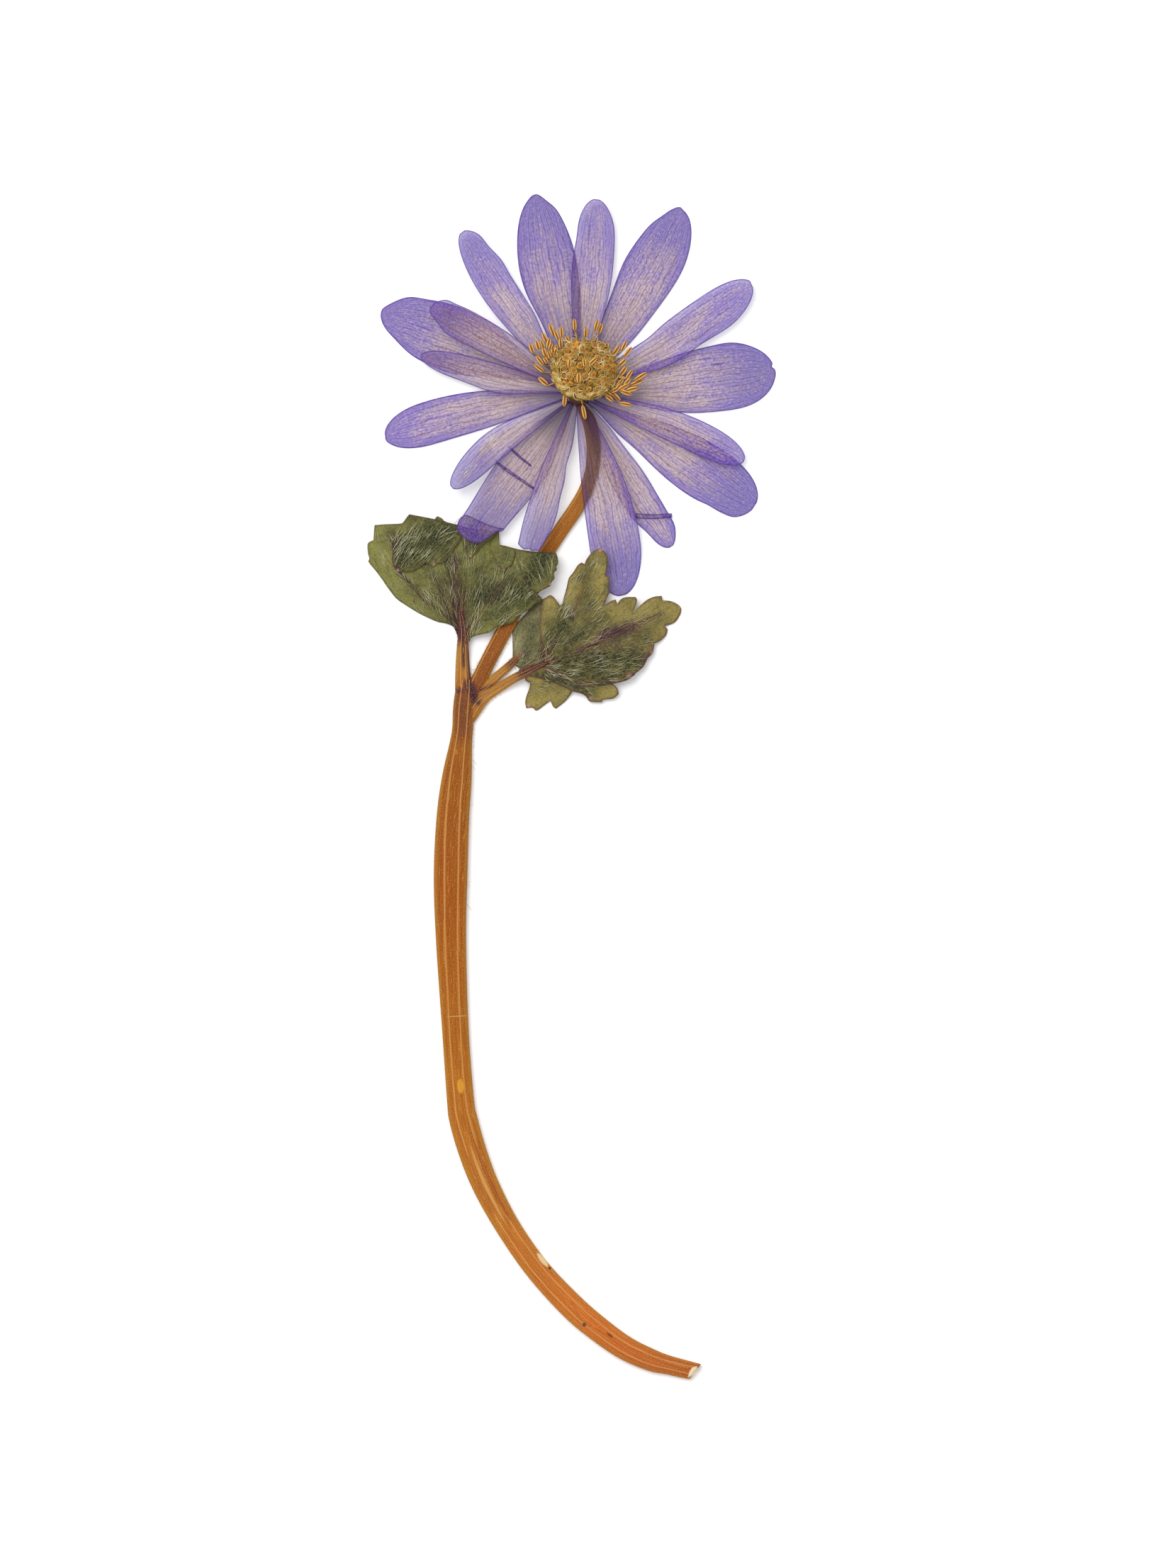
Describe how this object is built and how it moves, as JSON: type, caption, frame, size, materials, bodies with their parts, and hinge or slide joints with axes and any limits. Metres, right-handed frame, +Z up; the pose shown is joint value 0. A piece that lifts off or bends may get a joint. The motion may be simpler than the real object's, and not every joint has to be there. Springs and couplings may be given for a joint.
{
  "type": "anemone flower",
  "caption": "Pressed anemone flower on its cut stem: long violet tepals in layers, golden stamens round a dome of carpels, toothed leaves below.",
  "frame": {"origin": "under the middle of the lying flower's box, on the surface that it lies on", "axes": "+Y from the cut end of the stem towards the flower head, +Z up from the surface towards the eye, +X to the right as seen from above with the flower at the top"},
  "size_m": [0.0459, 0.1337, 0.0057],
  "materials": {
    "tepal": "dry, papery, matt",
    "stalk": "dry, fibrous, ribbed, slight sheen",
    "leaf_left": "dry leaf, hairy, matt",
    "leaf_right": "dry leaf, hairy, matt",
    "leaf_back": "dry leaf, hairy, matt",
    "anther": "dry, matt",
    "carpel": "dry, downy, matt"
  },
  "bodies": {
    "root": {"tepal_01": "tepal", "tepal_02": "tepal", "tepal_03": "tepal", "tepal_04": "tepal", "tepal_05": "tepal", "tepal_06": "tepal", "tepal_07": "tepal", "tepal_08": "tepal", "tepal_09": "tepal", "tepal_10": "tepal", "tepal_11": "tepal", "tepal_12": "tepal", "tepal_13": "tepal", "tepal_14": "tepal", "tepal_15": "tepal", "tepal_16": "tepal", "tepal_17": "tepal", "stem": "stalk", "leaf_left": "leaf_left", "leaf_right": "leaf_right", "leaf_back": "leaf_back", "stamens": "anther", "carpels": "carpel"}
  },
  "joints": []
}
